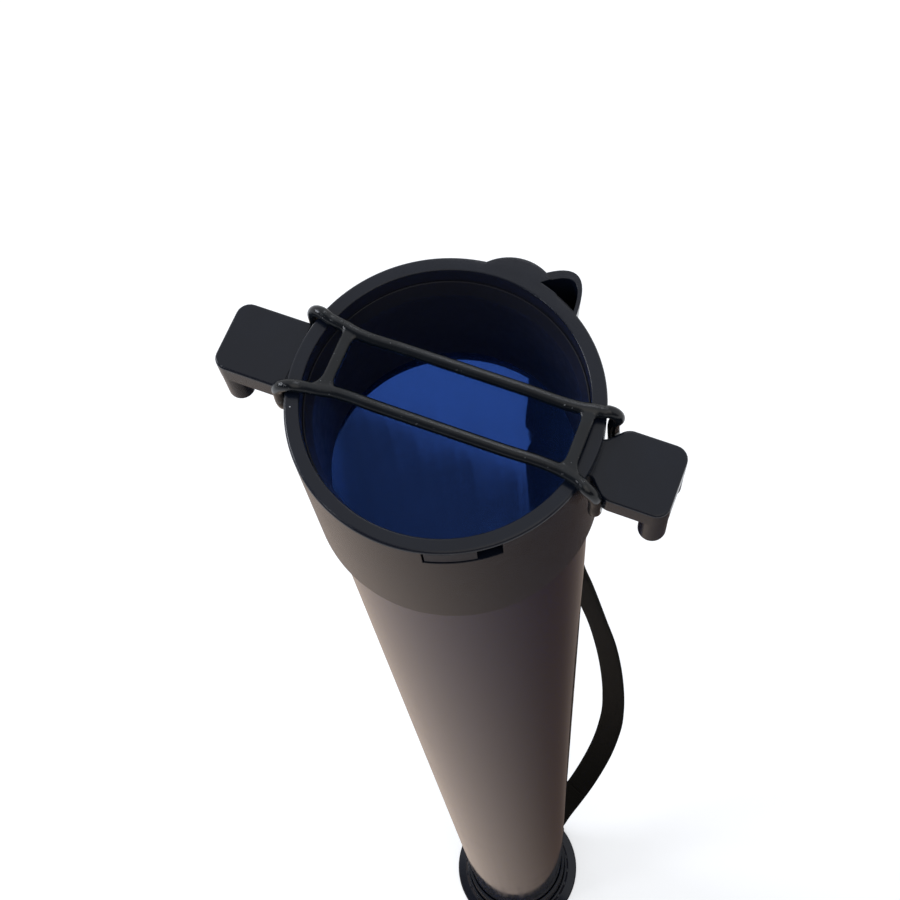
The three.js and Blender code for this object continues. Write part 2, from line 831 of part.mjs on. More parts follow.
addPiece('tube', mainTube(), 'tube');
addPiece('mouth_fitting', mouthFitting().translate([0, 0, mouthHeight]), 'moulding');
addPiece('mouth_liner', linerSleeve().translate([0, 0, mouthHeight]), 'liner');
addPiece('retaining_band', retainingBand(), 'rubber');
addPiece('base_fitting', baseFitting(), 'moulding');
addPiece('base_liner', standing(linerSleeve(), baseHeight), 'liner');
addPiece('end_cap', endCap(), 'moulding');
addPiece('foot_ring', footRing(), 'foot');
addPiece('strap_webbing', webbing(strap, strapWidth / 2), 'webbing', hangerAngle);
addPiece('strap_slider', slider(), 'slider', hangerAngle);

export default part;
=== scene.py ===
from math import cos, pi, radians, sin

import bmesh
import bpy
from mathutils import Matrix, Vector


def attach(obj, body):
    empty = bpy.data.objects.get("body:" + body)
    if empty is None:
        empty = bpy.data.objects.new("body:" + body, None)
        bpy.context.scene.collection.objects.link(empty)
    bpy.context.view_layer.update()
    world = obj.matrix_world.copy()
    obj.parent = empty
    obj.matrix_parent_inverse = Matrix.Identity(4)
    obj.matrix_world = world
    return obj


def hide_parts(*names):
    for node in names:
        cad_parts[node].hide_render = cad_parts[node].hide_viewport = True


# Ball pickup tube, standing on its end cap. The CAD frame is in metres, the sizes below are in millimetres.
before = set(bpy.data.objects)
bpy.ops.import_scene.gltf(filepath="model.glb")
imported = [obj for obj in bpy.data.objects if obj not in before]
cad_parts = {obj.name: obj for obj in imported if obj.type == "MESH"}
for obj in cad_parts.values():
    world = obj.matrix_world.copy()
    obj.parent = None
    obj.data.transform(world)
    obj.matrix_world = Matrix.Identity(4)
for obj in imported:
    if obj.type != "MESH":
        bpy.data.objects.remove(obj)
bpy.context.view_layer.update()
mm = 0.001
tiny = 1e-7  # metres, below any real distance
over = 1  # millimetres that a cutting shape reaches past what it cuts
print("frame loaded")

camera = {
    "place": (0.07712, -0.13466, 1.36933),
    "right": (0.92781, 0.36810, -0.06061),
    "up": (-0.31976, 0.86838, 0.37905),
    "lens": 58.5,
    "sensor": 36,
    "clip": (0.02, 40),
}


def placeCamera(settings):
    data = bpy.data.cameras.new("photoCamera")
    data.lens = settings["lens"]
    data.sensor_width = settings["sensor"]
    data.clip_start, data.clip_end = settings["clip"]
    eye = bpy.data.objects.new("photoCamera", data)
    right = Vector(settings["right"]).normalized()
    up = Vector(settings["up"]).normalized()
    back = right.cross(up)
    turn = Matrix((right, up, back)).transposed().to_4x4()
    eye.matrix_world = Matrix.Translation(settings["place"]) @ turn
    bpy.context.scene.collection.objects.link(eye)
    bpy.context.scene.camera = eye


placeCamera(camera)
print("camera placed")


def linearColour(hexText):  # an sRGB colour as linear red, green, blue and alpha
    parts = [int(hexText[i:i + 2], 16) / 255 for i in (1, 3, 5)]
    return tuple(p / 12.92 if p <= 0.04045 else ((p + 0.055) / 1.055) ** 2.4 for p in parts) + (1,)


def addNode(tree, kind, inputs=(), **options):
    node = tree.nodes.new(kind)
    for name, value in options.items():
        setattr(node, name, value)
    for name, value in dict(inputs).items():
        socket = node.inputs[name]
        if isinstance(value, bpy.types.NodeSocket):
            tree.links.new(value, socket)
        else:
            socket.default_value = value
    return node


def patternScale(size):  # a pattern whose grain is this many millimetres, on coordinates in metres
    return 1000 / size


def newMaterial(name):
    material = bpy.data.materials.new(name)
    material.use_nodes = True
    tree = material.node_tree
    tree.nodes.clear()
    return material, tree


def useShader(tree, shader):
    addNode(tree, "ShaderNodeOutputMaterial", {"Surface": shader})


def looseShape(bm):
    mesh = bpy.data.meshes.new("shape")
    bm.to_mesh(mesh)
    bm.free()
    shape = bpy.data.objects.new("shape", mesh)
    bpy.context.scene.collection.objects.link(shape)
    return shape


def takeShape(shape):  # the mesh of a loose shape, whose object goes
    bm = bmesh.new()
    bm.from_mesh(shape.data)
    bpy.data.objects.remove(shape)
    return bm


def mendMesh(piece):  # takes out the slivers that the booleans leave
    bm = bmesh.new()
    bm.from_mesh(piece.data)
    bmesh.ops.dissolve_degenerate(bm, edges=bm.edges[:], dist=10 * tiny)
    bmesh.ops.remove_doubles(bm, verts=bm.verts[:], dist=20 * tiny)
    bm.to_mesh(piece.data)
    bm.free()


def dressPiece(piece, name, material, body, node, sharp=32):  # sharp 0 keeps no edge sharp
    piece.name = piece.data.name = name
    mendMesh(piece)
    piece.data.materials.clear()
    piece.data.materials.append(material)
    piece.data.shade_smooth()
    if sharp:
        piece.data.set_sharp_from_angle(angle=radians(sharp))
        weighted = piece.modifiers.new("flatFaces", "WEIGHTED_NORMAL")
        weighted.keep_sharp = True
    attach(piece, body)
    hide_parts(node)


def settle(piece):  # applies the piece's modifiers
    bpy.context.view_layer.update()
    graph = bpy.context.evaluated_depsgraph_get()
    mesh = bpy.data.meshes.new_from_object(piece.evaluated_get(graph))
    piece.modifiers.clear()
    piece.data = mesh


def combine(piece, bm, operation):
    tool = looseShape(bm)
    boolean = piece.modifiers.new("combine", "BOOLEAN")
    boolean.operation = operation
    boolean.solver = "EXACT"
    boolean.object = tool
    settle(piece)
    bpy.data.objects.remove(tool)


def roundEdges(bm, edges, width, segments=3):
    bmesh.ops.bevel(bm, geom=edges, offset=width * mm, offset_type="OFFSET", affect="EDGES",
                    segments=segments, profile=0.5, material=-1)


def roundCorners(bm, verts, corners, segments):  # the third number of a corner is its round
    for vert, corner in zip(verts, corners):
        if corner[2]:
            bmesh.ops.bevel(bm, geom=[vert], offset=corner[2] * mm, offset_type="OFFSET", affect="VERTICES",
                            segments=segments, profile=0.5, material=-1)


def profileFace(bm, corners):  # corners are radius, height and the round on that corner
    verts = [bm.verts.new((r * mm, 0, z * mm)) for r, z, _ in corners]
    bm.faces.new(verts)
    roundCorners(bm, verts, corners, 4)


def turnedRing(corners, steps=160):
    bm = bmesh.new()
    profileFace(bm, corners)
    bmesh.ops.delete(bm, geom=bm.faces[:], context="FACES_ONLY")
    onAxis = [e for e in bm.edges if all(v.co.x < tiny for v in e.verts)]
    bmesh.ops.delete(bm, geom=onAxis, context="EDGES")
    bmesh.ops.spin(bm, geom=bm.verts[:] + bm.edges[:], cent=(0, 0, 0), axis=(0, 0, 1), dvec=(0, 0, 0),
                   angle=2 * pi, steps=steps, use_merge=True, use_duplicate=False)
    bmesh.ops.remove_doubles(bm, verts=bm.verts[:], dist=tiny)
    bmesh.ops.recalc_face_normals(bm, faces=bm.faces[:])
    return bm


def bentBlock(corners, middle, half, steps=8):  # a profile swept round the axis, half an angle to each side
    bm = bmesh.new()
    profileFace(bm, corners)
    bmesh.ops.rotate(bm, verts=bm.verts[:], cent=(0, 0, 0), matrix=Matrix.Rotation(middle - half, 3, "Z"))
    bmesh.ops.spin(bm, geom=bm.verts[:] + bm.edges[:] + bm.faces[:], cent=(0, 0, 0), axis=(0, 0, 1),
                   dvec=(0, 0, 0), angle=2 * half, steps=steps, use_merge=False, use_duplicate=False)
    bmesh.ops.recalc_face_normals(bm, faces=bm.faces[:])
    return bm


def roundBlock(radius, low, high, steps=160):
    return turnedRing([(0, low, 0), (radius, low, 0), (radius, high, 0), (0, high, 0)], steps)


def wedge(inner, outer, low, high, middle, half):
    return bentBlock([(inner, low, 0), (outer, low, 0), (outer, high, 0), (inner, high, 0)], middle, half)


def raisedOutline(corners, low, high):  # corners are x, y and the round on that corner
    bm = bmesh.new()
    verts = [bm.verts.new((x * mm, y * mm, low * mm)) for x, y, _ in corners]
    bm.faces.new(verts)
    roundCorners(bm, verts, corners, 6)
    raised = bmesh.ops.extrude_face_region(bm, geom=bm.faces[:])
    moved = [v for v in raised["geom"] if isinstance(v, bmesh.types.BMVert)]
    bmesh.ops.translate(bm, verts=moved, vec=(0, 0, (high - low) * mm))
    bmesh.ops.recalc_face_normals(bm, faces=bm.faces[:])
    return bm


def rimEdges(bm, height):  # the edges of a raised outline's flat face at that height
    return [e for e in bm.edges if all(abs(v.co.z - height * mm) < tiny for v in e.verts)]


def turnTo(bm, angle):
    bmesh.ops.rotate(bm, verts=bm.verts[:], cent=(0, 0, 0), matrix=Matrix.Rotation(angle, 3, "Z"))
    return bm


def addTo(bm, other):  # puts a second shape into the same mesh
    mesh = bpy.data.meshes.new("shape")
    other.to_mesh(mesh)
    other.free()
    bm.from_mesh(mesh)
    bpy.data.meshes.remove(mesh)
    return bm


def surfaceNoise(tree, place, size, detail=3, rough=0.5):
    return addNode(tree, "ShaderNodeTexNoise", {
        "Vector": place, "Scale": patternScale(size), "Detail": detail, "Roughness": rough,
    }).outputs["Fac"]


def remap(tree, value, low, high, toLow, toHigh):
    return addNode(tree, "ShaderNodeMapRange", {
        "Value": value, "From Min": low, "From Max": high, "To Min": toLow, "To Max": toHigh,
    }).outputs["Result"]


def mixedColour(tree, share, first, second):  # 6 and 7 are the mix node's two colours, 2 is its result
    mix = addNode(tree, "ShaderNodeMix", {"Factor": share, 6: first, 7: second}, data_type="RGBA")
    return mix.outputs[2]


def patchyColour(tree, pattern, low, high, colour, paler):  # paler where the pattern is high
    share = remap(tree, pattern, low, high, 0, 1)
    return mixedColour(tree, share, linearColour(colour), linearColour(paler))


def mouldedPlastic(name, colour, paler, dust, gloss, level, peel, edge):
    # Injection moulded plastic: black, with a faint orange peel, duller scuffs and a few dust flecks.
    material, tree = newMaterial(name)
    place = addNode(tree, "ShaderNodeTexCoord").outputs["Object"]
    blotch = surfaceNoise(tree, place, 22, 4, 0.6)
    scuff = surfaceNoise(tree, place, 3.5, 6, 0.7)
    fleckSize = addNode(tree, "ShaderNodeTexVoronoi", {
        "Vector": place, "Scale": patternScale(4.6), "Randomness": 1,
    })
    fleck = remap(tree, fleckSize.outputs["Distance"], 0.035, 0.06, 1, 0)
    rare = remap(tree, surfaceNoise(tree, place, 9, 2), 0.60, 0.66, 0, 1)
    dusty = addNode(tree, "ShaderNodeMath", {0: fleck, 1: rare}, operation="MULTIPLY").outputs[0]
    tone = patchyColour(tree, blotch, 0.35, 0.7, colour, paler)
    base = mixedColour(tree, dusty, tone, linearColour(dust))
    roughness = remap(tree, scuff, 0.3, 0.75, gloss[0], gloss[1])
    grain = surfaceNoise(tree, place, 1.1, 2)
    soft = addNode(tree, "ShaderNodeBevel", {"Radius": edge * mm}, samples=4)
    bump = addNode(tree, "ShaderNodeBump", {
        "Height": grain, "Strength": 1, "Distance": peel * mm, "Normal": soft.outputs["Normal"],
    })
    shader = addNode(tree, "ShaderNodeBsdfPrincipled", {
        "Base Color": base, "Roughness": roughness, "IOR": 1.53, "Specular IOR Level": level,
        "Normal": bump.outputs["Normal"],
    })
    useShader(tree, shader.outputs[0])
    return material


def tintedTube(name, colour):
    # Extruded polycarbonate, tinted clear blue: die lines run along it, handling has dulled it a little.
    material, tree = newMaterial(name)
    place = addNode(tree, "ShaderNodeTexCoord").outputs["Object"]
    along = addNode(tree, "ShaderNodeMapping", {"Vector": place, "Scale": (1, 1, 0.02)}).outputs["Vector"]
    lines = surfaceNoise(tree, along, 5, 3, 0.55)
    handled = surfaceNoise(tree, place, 40, 5, 0.6)
    dull = addNode(tree, "ShaderNodeMath", {0: lines, 1: handled}, operation="MULTIPLY").outputs[0]
    roughness = remap(tree, dull, 0.12, 0.42, 0.03, 0.12)
    bump = addNode(tree, "ShaderNodeBump", {"Height": lines, "Strength": 1, "Distance": 0.012 * mm})
    shader = addNode(tree, "ShaderNodeBsdfPrincipled", {
        "Base Color": linearColour(colour), "Roughness": roughness, "IOR": 1.58,
        "Transmission Weight": 1, "Normal": bump.outputs["Normal"],
    })
    useShader(tree, shader.outputs[0])
    return material


def smoothRubber(name, colour, paler, gloss, level):
    # Moulded rubber: near black, glossy to satin, with small specks where dust clings.
    material, tree = newMaterial(name)
    place = addNode(tree, "ShaderNodeTexCoord").outputs["Object"]
    bloom = surfaceNoise(tree, place, 6, 4, 0.6)
    specks = remap(tree, surfaceNoise(tree, place, 0.8, 2), 0.72, 0.78, 0, 0.6)
    tone = patchyColour(tree, bloom, 0.4, 0.75, colour, paler)
    base = mixedColour(tree, specks, tone, linearColour("#8d8f92"))
    grain = surfaceNoise(tree, place, 0.5, 2)
    soft = addNode(tree, "ShaderNodeBevel", {"Radius": 0.8 * mm}, samples=4)
    bump = addNode(tree, "ShaderNodeBump", {
        "Height": grain, "Strength": 1, "Distance": 0.012 * mm, "Normal": soft.outputs["Normal"],
    })
    shader = addNode(tree, "ShaderNodeBsdfPrincipled", {
        "Base Color": base, "Roughness": remap(tree, bloom, 0.3, 0.8, gloss[0], gloss[1]), "IOR": 1.5,
        "Specular IOR Level": level, "Normal": bump.outputs["Normal"],
    })
    useShader(tree, shader.outputs[0])
    return material


def wovenWebbing(name, colour, paler):
    # Woven polypropylene: a plain weave of 1 mm yarns, drawn a little coarser than it is so that it shows.
    material, tree = newMaterial(name)
    place = addNode(tree, "ShaderNodeUVMap", uv_map="webbing").outputs["UV"]
    wave = {
        "Vector": place, "Scale": patternScale(1.25) / pi,
        "Distortion": 0.4, "Detail": 1, "Detail Scale": 2,
    }
    warp, weft = (
        addNode(tree, "ShaderNodeTexWave", wave, wave_type="BANDS", bands_direction=way, wave_profile="SIN")
        .outputs["Fac"] for way in "XY"
    )
    crossing = addNode(tree, "ShaderNodeMath", {0: warp, 1: weft}, operation="MULTIPLY").outputs[0]
    fuzz = surfaceNoise(tree, place, 0.35, 3, 0.7)
    height = addNode(tree, "ShaderNodeMath", {0: crossing, 1: fuzz}, operation="MULTIPLY").outputs[0]
    # paler on the raised yarn crossings and darker between them: painted shade in the weave's hollows
    tone = patchyColour(tree, crossing, 0.1, 0.8, colour, paler)
    bump = addNode(tree, "ShaderNodeBump", {"Height": height, "Strength": 1, "Distance": 0.35 * mm})
    shader = addNode(tree, "ShaderNodeBsdfPrincipled", {
        "Base Color": tone, "Roughness": remap(tree, fuzz, 0.3, 0.7, 0.62, 0.85), "IOR": 1.49,
        "Specular IOR Level": 0.05, "Normal": bump.outputs["Normal"],
    })
    useShader(tree, shader.outputs[0])
    return material


blackAbs = mouldedPlastic("blackAbs", "#090e19", "#0d131f", "#a9abae", (0.19, 0.26), 0.25, 0.006, 0.35)
linerAbs = mouldedPlastic("linerAbs", "#191a21", "#1d1e26", "#55575c", (0.34, 0.46), 0.12, 0.006, 0.3)
sliderAcetal = mouldedPlastic("sliderAcetal", "#141517", "#1b1c1e", "#77797c", (0.42, 0.55), 0.4, 0.02, 0.3)
tubePolycarbonate = tintedTube("tubePolycarbonate", "#27458a")
bandRubber = smoothRubber("bandRubber", "#090e14", "#0e141a", (0.09, 0.17), 0.32)
footRubber = smoothRubber("footRubber", "#151516", "#202122", (0.55, 0.75), 0.4)
strapPolypropylene = wovenWebbing("strapPolypropylene", "#0d0c0a", "#1b1915")
print("materials made")

strap = {
    "angle": radians(67.1),
    "width": 20,
    "thickness": 1.5,
    "selvedge": 0.45,
    "step": 3.0,
    "columns": 9,
    # radius and height of the webbing's middle, in metres, from the tail's end to the hem:
    # tail, slider, upper eye, slider, bow, lower eye, hem
    "route": [
        (0.04894, 0.76317), (0.04495, 0.79981), (0.04212, 0.83647), (0.04069, 0.87304), (0.04050, 0.90945),
        (0.04254, 0.91362), (0.04614, 0.91719), (0.04770, 0.92015), (0.04614, 0.92311), (0.04254, 0.92668),
        (0.04050, 0.93085), (0.04200, 0.95400), (0.04350, 0.97715), (0.04461, 0.97984), (0.04730, 0.98095),
        (0.04999, 0.97984), (0.05110, 0.97715), (0.04670, 0.95400), (0.04230, 0.93085), (0.04386, 0.92789),
        (0.04746, 0.92432), (0.04950, 0.92015), (0.04746, 0.91598), (0.04386, 0.91241), (0.04230, 0.90945),
        (0.04368, 0.85336), (0.04911, 0.80237), (0.05667, 0.75513), (0.07019, 0.66590), (0.08448, 0.56942),
        (0.09878, 0.44449), (0.10791, 0.32823), (0.10994, 0.24593), (0.10126, 0.15824), (0.08174, 0.10056),
        (0.05684, 0.07025), (0.05110, 0.05675), (0.04730, 0.05295), (0.04350, 0.05675), (0.04350, 0.06435),
        (0.05443, 0.07308), (0.06756, 0.08210), (0.07574, 0.09364),
    ],
}


def smoothRoute(points, step):  # even steps on a smooth curve through the points, which may stand unevenly
    ends = [2 * points[0] - points[1], *points, 2 * points[-1] - points[-2]]
    dense = []
    for a, b, c, d in zip(ends, ends[1:], ends[2:], ends[3:]):
        gaps = [(q - p).length ** 0.5 for p, q in ((a, b), (b, c), (c, d))]
        first = ((b - a) / gaps[0] - (c - a) / (gaps[0] + gaps[1]) + (c - b) / gaps[1]) * gaps[1]
        second = ((c - b) / gaps[1] - (d - b) / (gaps[1] + gaps[2]) + (d - c) / gaps[2]) * gaps[1]
        count = max(2, round((c - b).length / (step * mm)))
        for i in range(count):
            t = i / count
            dense.append(b * (2 * t ** 3 - 3 * t ** 2 + 1) + c * (3 * t ** 2 - 2 * t ** 3)
                         + first * (t ** 3 - 2 * t ** 2 + t) + second * (t ** 3 - t ** 2))
    return dense + [points[-1]]


def makeStrap(settings):
    flat = [Vector((n, 0, z)) for n, z in settings["route"]]
    turn = Matrix.Rotation(settings["angle"], 3, "Z")
    middle = smoothRoute(flat, settings["step"])
    half = settings["width"] / 2 * mm
    columns = settings["columns"]
    bm = bmesh.new()
    uv = bm.loops.layers.uv.new("webbing")
    rows, travelled, length = [], [], 0
    for i, point in enumerate(middle):
        if i:
            length += (point - middle[i - 1]).length
        travelled.append(length)
        rows.append([bm.verts.new(turn @ (point + Vector((0, half * (2 * k / (columns - 1) - 1), 0))))
                     for k in range(columns)])
    for i in range(len(rows) - 1):
        for k in range(columns - 1):
            face = bm.faces.new((rows[i][k], rows[i][k + 1], rows[i + 1][k + 1], rows[i + 1][k]))
            for loop, (row, column) in zip(face.loops, ((i, k), (i, k + 1), (i + 1, k + 1), (i + 1, k))):
                loop[uv].uv = (2 * half * column / (columns - 1), travelled[row])
    piece = looseShape(bm)
    wall = piece.modifiers.new("thickness", "SOLIDIFY")
    wall.thickness = settings["thickness"] * mm
    wall.offset = 0
    edge = piece.modifiers.new("selvedge", "BEVEL")
    edge.width = settings["selvedge"] * mm
    edge.segments = 2
    edge.limit_method = "ANGLE"
    edge.angle_limit = radians(60)
    settle(piece)
    dressPiece(piece, "strapWebbing", strapPolypropylene, "barrel", "strap_webbing", 0)
    path = [turn @ p for p in middle]
    return piece, path, length


strapWebbing, strapPath, strapLength = makeStrap(strap)
print("strap made, length", round(strapLength, 4))

fit = {
    "mouthHeight": 1030, "baseHeight": 3.9,
    "throat": 35, "liner": 36.55, "tubeInner": 36.85, "tubeOuter": 38.65,
    "skirtInner": 38.95, "skirtOuter": 41.5, "mouth": 37.4,
    "ringDepth": 12.5, "skirtDepth": 55.5, "rimRound": 0.9, "lipRound": 0.5, "skirtRound": (0.4, 0.5),
    "mattBand": 0.2, "mattTilt": 0.3, "endRound": 0.3, "gap": 0.3, "tubeSteps": 192,
}
hanger = {
    "angle": radians(67.1), "rise": 8.1, "barRise": 6.8, "wall": 2,
    "topHalf": 8.4, "waistHalf": 7.4, "waist": 18, "boreShift": 0.8, "barHalf": 14.4,
    "topDrop": 0.5, "neck": 36, "flare": 9, "flareSteps": 6, "barHeight": 5, "window": 10,
    "windowRound": 1.2, "topPower": 2, "barPower": 16,
}
liner = {
    "top": 5.5, "depth": 44.7, "edge": 0.4, "collarGap": 0.08, "lead": 5, "taper": 0.35,
    "tabAngle": radians(-62.3), "windowTop": 0.95, "windowHeight": 6.9, "windowWidth": 20.6,
    "tabWidth": 13.4, "tabGap": 0.5, "tabInset": 0.2, "barb": 2,
}
ear = {
    "reach": 21.45, "half": 10.2, "drop": 4.3, "height": 7.2, "plate": 2.4, "wall": 1.8, "corner": 3.8,
    "root": 1.3, "neckHalf": 5.3, "neckRound": 1.2, "topRound": 0.7, "underRound": 0.25,
    "rightNeck": (4.7, 1.6), "leftNeck": (0.2, 0.5),  # length, and the round on the plate's inner corners
    "pocket": 2.4, "pocketRound": 1, "peg": 3.7, "pegDrop": 12, "pegRound": 0.6,
}
lobe = {
    "angle": radians(81), "radius": 13.1, "proud": 4.2, "round": 0.8,
    "boreGap": 0.6, "boreSpan": (20, 2),  # the bore that keeps it off the mouth, below and above its top
}


def fittingShell(level):
    s = fit
    outerRound, innerRound = s["skirtRound"]
    return turnedRing([
        (s["skirtOuter"], level(s["skirtDepth"]), outerRound),
        (s["skirtOuter"], level(0), s["rimRound"]),
        (s["mouth"], level(0), s["lipRound"]),
        (s["mouth"], level(s["ringDepth"]), 0),
        (s["skirtInner"], level(s["ringDepth"]), 0),
        (s["skirtInner"], level(s["skirtDepth"]), innerRound),
    ])


def clipWindows(level):  # right through below the liner's edge, and a pocket in the ring's outside above it
    s, w = fit, liner
    half = w["windowWidth"] / 2 / s["skirtOuter"]
    high, low, step = w["windowTop"], w["windowTop"] + w["windowHeight"], w["top"] + s["gap"]
    inner, outer, pocket = s["mouth"] - over, s["skirtOuter"] + over, s["skirtOuter"] - w["barb"]
    corners = [
        (inner, level(low), 0), (outer, level(low), 0), (outer, level(high), 0),
        (pocket, level(high), 0), (pocket, level(step), 0), (inner, level(step), 0),
    ]
    return addTo(bentBlock(corners, w["tabAngle"], half), bentBlock(corners, w["tabAngle"] + pi, half))


def archLoop(bm, level, depth, half, power, rise, back, shift, steps=24):  # a higher power is squarer
    verts = []
    for i in range(steps + 1):
        across = sin((i / steps - 0.5) * pi)
        verts.append(bm.verts.new((
            (back + rise * (1 - abs(across) ** power)) * mm,
            (half * across - shift) * mm,
            level(depth) * mm,
        )))
    return [bm.edges.new((a, b)) for a, b in zip(verts, verts[1:] + verts[:1])]


def archShape(level, top, bottom, inset, shift):  # the hanger's outside, or its bore when inset by the wall
    h = hanger
    back = (fit["skirtInner"] + fit["skirtOuter"]) / 2
    depths = [top, (top + h["waist"]) / 2, h["waist"]] if top < h["waist"] else [top]
    depths += [h["neck"] + h["flare"] * i / h["flareSteps"] for i in range(h["flareSteps"] + 1)] + [bottom]
    bm = bmesh.new()
    loops = []
    for depth in depths:
        waisted = min(max(depth / h["waist"], 0), 1)
        flared = min(max((depth - h["neck"]) / h["flare"], 0), 1)
        flared = flared * flared * (3 - 2 * flared)
        power = h["topPower"] + (h["barPower"] - h["topPower"]) * flared
        neck = h["topHalf"] + (h["waistHalf"] - h["topHalf"]) * waisted
        half = neck + (h["barHalf"] - neck) * flared
        out = h["rise"] + (h["barRise"] - h["rise"]) * waisted
        rise = fit["skirtOuter"] + out - inset - back
        loops.append(archLoop(bm, level, depth, half - inset, power, rise, back, shift))
    for upper, lower in zip(loops, loops[1:]):
        bmesh.ops.bridge_loops(bm, edges=upper + lower)
    for rim in (loops[0], loops[-1]):
        bmesh.ops.contextual_create(bm, geom=rim)
    bmesh.ops.recalc_face_normals(bm, faces=bm.faces[:])
    return turnTo(bm, h["angle"])


def strapWindow(level):
    h, s = hanger, fit
    edge = s["skirtDepth"] - h["barHeight"]
    low, high = sorted((level(edge), level(edge - h["window"])))
    half = h["barHalf"] - h["wall"]
    near, far = s["skirtOuter"] + h["barRise"] - 2 * h["wall"], s["skirtOuter"] + h["barRise"] + over
    bm = raisedOutline([(near, -half, 0), (far, -half, 0), (far, half, 0), (near, half, 0)], low, high)
    outward = [e for e in bm.edges if abs(e.verts[0].co.z - e.verts[1].co.z) < tiny
               and abs(e.verts[0].co.y - e.verts[1].co.y) < tiny]
    roundEdges(bm, outward, h["windowRound"])
    return turnTo(bm, h["angle"])


def addHanger(piece, level, top):
    h, s = hanger, fit
    combine(piece, archShape(level, top, s["skirtDepth"], 0, 0), "UNION")
    bore = looseShape(archShape(level, top - over, s["skirtDepth"] + over, h["wall"], h["boreShift"]))
    low, high = sorted((level(top - 3 * over), level(s["skirtDepth"] + 3 * over)))
    combine(bore, roundBlock(s["skirtOuter"], low, high), "DIFFERENCE")
    combine(piece, takeShape(bore), "DIFFERENCE")
    combine(piece, strapWindow(level), "DIFFERENCE")


def earPlate(top, neck, shoulderRound):
    e, outer = ear, fit["skirtOuter"]
    root, shoulder, end = outer - e["root"], outer + neck, outer + e["reach"]
    low = top - e["height"]
    bm = raisedOutline([
        (root, -e["neckHalf"], 0), (outer, -e["neckHalf"], e["neckRound"]),
        (shoulder, -e["half"], shoulderRound), (end, -e["half"], e["corner"]),
        (end, e["half"], e["corner"]), (shoulder, e["half"], shoulderRound),
        (outer, e["neckHalf"], e["neckRound"]), (root, e["neckHalf"], 0),
    ], low, top)
    roundEdges(bm, rimEdges(bm, top), e["topRound"], 4)
    roundEdges(bm, rimEdges(bm, low), e["underRound"], 2)
    return bm


def addEar(piece, top, neck, shoulderRound, turn):  # hollow below, with a peg under each outer corner
    e, outer = ear, fit["skirtOuter"]
    low = top - e["height"]
    plate = looseShape(earPlate(top, neck, shoulderRound))
    start, end = outer + max(neck, e["pocket"]), outer + e["reach"]
    side, corner = e["half"] - e["wall"], e["pocketRound"]
    pocket = raisedOutline([
        (start, -side, corner), (end - e["wall"], -side, corner),
        (end - e["wall"], side, corner), (start, side, corner),
    ], low - over, top - e["plate"])
    combine(plate, pocket, "DIFFERENCE")
    for way in (-1, 1):
        peg = turnedRing([
            (0, low - e["pegDrop"], 0), (e["peg"], low - e["pegDrop"], e["pegRound"]),
            (e["peg"], top - e["plate"] / 2, 0), (0, top - e["plate"] / 2, 0),
        ], 32)
        spot = (end - e["corner"], way * (e["half"] - e["corner"]), 0)
        bmesh.ops.translate(peg, verts=peg.verts[:], vec=Vector(spot) * mm)
        combine(plate, peg, "UNION")
    combine(piece, turnTo(takeShape(plate), turn), "UNION")


def addLobe(piece, top):
    radius, low = lobe["radius"], top - fit["ringDepth"]
    centre = fit["skirtOuter"] + lobe["proud"] - radius
    bm = turnedRing([(0, low, 0), (radius, low, 0), (radius, top, lobe["round"]), (0, top, 0)], 64)
    spot = (centre * cos(lobe["angle"]), centre * sin(lobe["angle"]), 0)
    bmesh.ops.translate(bm, verts=bm.verts[:], vec=Vector(spot) * mm)
    solid = looseShape(bm)
    below, above = lobe["boreSpan"]
    combine(solid, roundBlock(fit["mouth"] + lobe["boreGap"], top - below, top + above), "DIFFERENCE")
    combine(piece, takeShape(solid), "UNION")


def makeMouthFitting():
    top = fit["mouthHeight"]
    level = lambda depth: top - depth
    piece = looseShape(fittingShell(level))
    addLobe(piece, top)
    addEar(piece, top - ear["drop"], *ear["rightNeck"], 0)
    addEar(piece, top - ear["drop"], *ear["leftNeck"], pi)
    addHanger(piece, level, hanger["topDrop"])
    combine(piece, clipWindows(level), "DIFFERENCE")
    dressPiece(piece, "mouthFitting", blackAbs, "barrel", "mouth_fitting")
    piece.data.materials.append(linerAbs)  # the ring's inner wall is matt, like the liner
    inside = (fit["mouth"] + fit["mattBand"]) * mm
    for face in piece.data.polygons:
        if face.center.xy.length < inside and abs(face.normal.z) < fit["mattTilt"]:
            face.material_index = 1


def makeLiner(name, level, node):
    s, w = fit, liner
    collar = s["mouth"] - w["collarGap"]
    piece = looseShape(turnedRing([
        (s["liner"], level(w["depth"]), 0.2),
        (s["liner"], level(s["ringDepth"]), 0),
        (collar, level(s["ringDepth"]), 0),
        (collar, level(w["top"]), 0.12),
        (collar - w["edge"], level(w["top"]), 0.2),
        (s["throat"] + w["taper"], level(w["top"] + w["lead"]), 0.8),
        (s["throat"], level(w["depth"]), 0.2),
    ]))
    half = w["tabWidth"] / 2 / s["skirtOuter"]
    low, high = w["windowTop"] + w["windowHeight"] - w["tabGap"], w["windowTop"] + w["tabGap"]
    root, face = collar - w["edge"], s["skirtOuter"] - w["tabInset"]
    hook = s["skirtOuter"] - w["barb"] + s["gap"]
    step = w["top"] + 2 * s["gap"]
    tab = [
        (root, level(low), 0), (face, level(low), 0.5), (face, level(high), 0.5),
        (hook, level(high), 0.2), (hook, level(step), 0), (root, level(step), 0),
    ]
    first = w["tabAngle"] - (w["windowWidth"] / 2 - w["tabGap"]) / s["skirtOuter"] + half
    for angle in (first, first + pi):
        combine(piece, bentBlock(tab, angle, half), "UNION")
    dressPiece(piece, name, linerAbs, "barrel", node)


makeMouthFitting()
print("mouth fitting made")
makeLiner("mouthLiner", lambda depth: fit["mouthHeight"] - depth, "mouth_liner")
makeLiner("baseLiner", lambda depth: fit["baseHeight"] + depth, "base_liner")
print("liners made")


